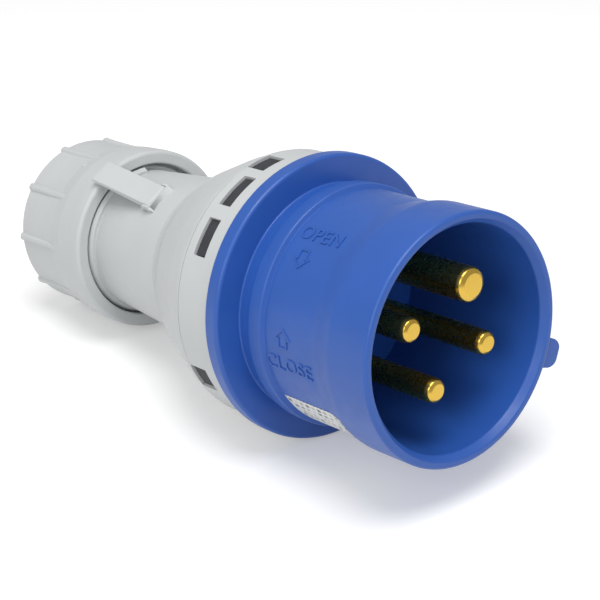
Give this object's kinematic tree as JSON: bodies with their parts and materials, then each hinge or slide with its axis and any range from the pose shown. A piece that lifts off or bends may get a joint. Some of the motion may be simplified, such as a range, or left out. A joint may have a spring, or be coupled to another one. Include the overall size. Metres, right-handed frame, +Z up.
{
  "type": "industrial pin and sleeve plug",
  "caption": "Round industrial power plug with blue shroud, brass pins, twist-off grey rear housing and ribbed cable gland with a lock lever.",
  "frame": {"origin": "centre of the bounding box's base, on the ground under the plug", "axes": "+Z up; the shroud's mouth faces -Y; the plug's own axis lies in the YZ plane, dipping about 6.7 degrees towards the rear, as the plug rests on its flange and on two ribs of its gland nut"},
  "size_m": [0.0594, 0.13, 0.0593],
  "materials": {
    "blue_shell": "satin moulded polyamide",
    "blue_insert": "matt moulded polyamide",
    "grey_shell": "satin moulded polyamide",
    "dark_insert": "matt moulded polyamide",
    "light_insert": "matt moulded polyamide",
    "cage_grey": "matt moulded polyamide",
    "brass": "turned, bright",
    "steel": "zinc plated",
    "seal_rubber": "matt",
    "label": "printed film"
  },
  "bodies": {
    "front": {"front_housing": "blue_shell", "contact_carrier": "blue_insert", "terminal_block": "dark_insert", "centre_screw": "steel", "earth_pin": "brass", "phase_pin_1": "brass", "phase_pin_2": "brass", "phase_pin_3": "brass", "terminal_screws": "steel", "rating_label": "label"},
    "rear": {"bayonet_ring": "grey_shell", "rear_housing": "grey_shell", "spigot_seal": "seal_rubber", "cable_seal": "seal_rubber", "thrust_washer": "light_insert", "clamping_cage": "cage_grey", "lever_pin": "steel"},
    "slip": {"slip_ring": "light_insert"},
    "nut": {"gland_nut": "grey_shell"},
    "lever": {"lock_lever": "grey_shell"}
  },
  "joints": [
    {"name": "front_twist", "type": "hinge", "parent": "front", "child": "rear", "pos_m": [0, -0.01113, 0.02823], "axis": [0, 0.993, -0.1181], "range_deg": [0, 45]},
    {"name": "gland_advance", "type": "slide", "parent": "rear", "child": "slip", "axis": [0, 0.993, -0.1181], "range_m": [0, 0.00601]},
    {"name": "gland_nut_turn", "type": "hinge", "parent": "slip", "child": "nut", "pos_m": [0, 0.03708, 0.02249], "axis": [0, 0.993, -0.1181], "range_deg": [0, 720]},
    {"name": "lock_lever_lift", "type": "hinge", "parent": "rear", "child": "lever", "pos_m": [-0.00883, 0.02287, 0.03928], "axis": [0.8616, 0.06, 0.504], "range_deg": [0, 55]}
  ],
  "couplings": [
    {"joint": "gland_advance", "follows": "gland_nut_turn", "m_per_rad": 0.00047746}
  ]
}
